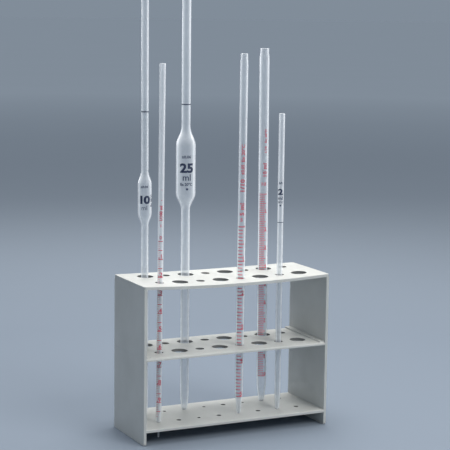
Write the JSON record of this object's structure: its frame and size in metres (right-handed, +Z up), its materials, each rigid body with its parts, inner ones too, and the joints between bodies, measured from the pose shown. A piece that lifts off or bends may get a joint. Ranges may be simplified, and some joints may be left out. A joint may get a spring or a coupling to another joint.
{
  "type": "pipette set",
  "caption": "Three-tier plastic rack with alternating wide and narrow holes, and plastic volumetric and graduated pipettes standing in it.",
  "frame": {"origin": "on the bench, in the middle of the rack's footprint", "axes": "+Z up, +X along the rack to the right, the rack's front faces -Y"},
  "size_m": [0.2, 0.076, 0.5307],
  "materials": {
    "rack_plastic": "satin",
    "pipette_plastic": "translucent satin",
    "red_print": "printed ink",
    "blue_print": "printed ink"
  },
  "bodies": {
    "rack": {"top_shelf": "rack_plastic", "middle_shelf": "rack_plastic", "base_shelf": "rack_plastic", "left_end_plate": "rack_plastic", "right_end_plate": "rack_plastic", "left_joint_strip": "rack_plastic", "right_joint_strip": "rack_plastic"},
    "volumetric_pipette_10ml": {"volumetric_pipette_10ml": "pipette_plastic"},
    "graduated_pipette_1ml": {"graduated_pipette_1ml": "pipette_plastic"},
    "volumetric_pipette_25ml": {"volumetric_pipette_25ml": "pipette_plastic"},
    "graduated_pipette_5ml": {"graduated_pipette_5ml": "pipette_plastic"},
    "graduated_pipette_10ml": {"graduated_pipette_10ml": "pipette_plastic"},
    "volumetric_pipette_2ml": {"volumetric_pipette_2ml": "pipette_plastic"}
  },
  "joints": [
    {"name": "volumetric_pipette_10ml_lift", "type": "slide", "parent": "rack", "child": "volumetric_pipette_10ml", "axis": [-0.0044, 0, 1], "range_m": [0, 0.15]},
    {"name": "graduated_pipette_1ml_lift", "type": "slide", "parent": "rack", "child": "graduated_pipette_1ml", "axis": [0.0051, 0, 1], "range_m": [0, 0.16]},
    {"name": "volumetric_pipette_25ml_lift", "type": "slide", "parent": "rack", "child": "volumetric_pipette_25ml", "axis": [-0.0038, 0, 1], "range_m": [0, 0.15]},
    {"name": "graduated_pipette_5ml_lift", "type": "slide", "parent": "rack", "child": "graduated_pipette_5ml", "axis": [0.0017, 0, 1], "range_m": [0, 0.15]},
    {"name": "graduated_pipette_10ml_lift", "type": "slide", "parent": "rack", "child": "graduated_pipette_10ml", "axis": [-0.0077, 0, 1], "range_m": [0, 0.15]},
    {"name": "volumetric_pipette_2ml_lift", "type": "slide", "parent": "rack", "child": "volumetric_pipette_2ml", "axis": [-0.0017, 0, 1], "range_m": [0, 0.15]}
  ]
}
